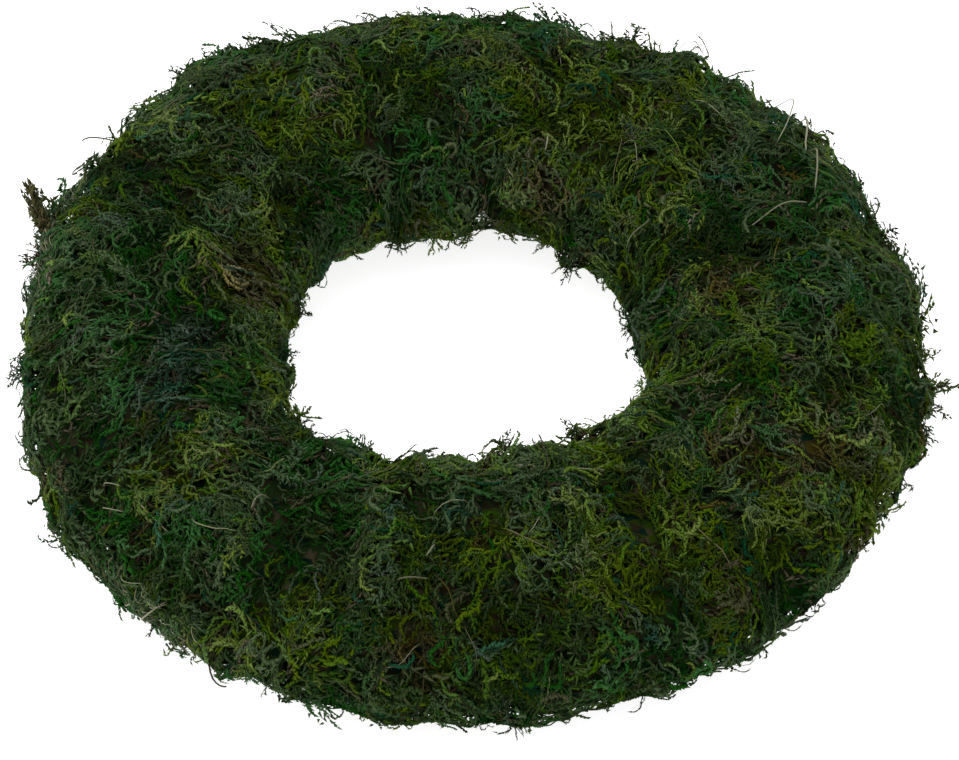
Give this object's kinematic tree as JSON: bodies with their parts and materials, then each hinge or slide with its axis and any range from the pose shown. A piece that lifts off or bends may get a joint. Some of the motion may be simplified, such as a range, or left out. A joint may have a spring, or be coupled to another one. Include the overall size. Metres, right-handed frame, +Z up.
{
  "type": "moss wreath",
  "caption": "Round door wreath: a ring covered all over in combed dried green moss, bound to a hidden straw form, open in the middle.",
  "frame": {"origin": "centre of the wreath's box, on the surface it lies on", "axes": "+Z up out of the wreath's face, as it lies on its back; -Y towards the viewer; +X to the viewer's right"},
  "size_m": [0.308, 0.307, 0.0633],
  "materials": {
    "moss_dark": "dry fibrous dark green moss",
    "moss_olive": "dry fibrous olive green moss",
    "moss_blue_green": "dry fibrous blue-green moss",
    "straw": "tightly wound dry straw",
    "green_wire": "green lacquered florist wire"
  },
  "bodies": {
    "root": {"wreath_form": "straw", "binding_wire": "green_wire", "moss_mat_01": "moss_olive", "moss_mat_02": "moss_dark", "moss_mat_03": "moss_dark", "moss_mat_04": "moss_dark", "moss_mat_05": "moss_dark", "moss_mat_06": "moss_blue_green", "moss_mat_07": "moss_blue_green", "moss_mat_08": "moss_olive", "moss_mat_09": "moss_dark", "moss_mat_10": "moss_dark", "moss_mat_11": "moss_olive", "moss_mat_12": "moss_olive"}
  },
  "joints": []
}
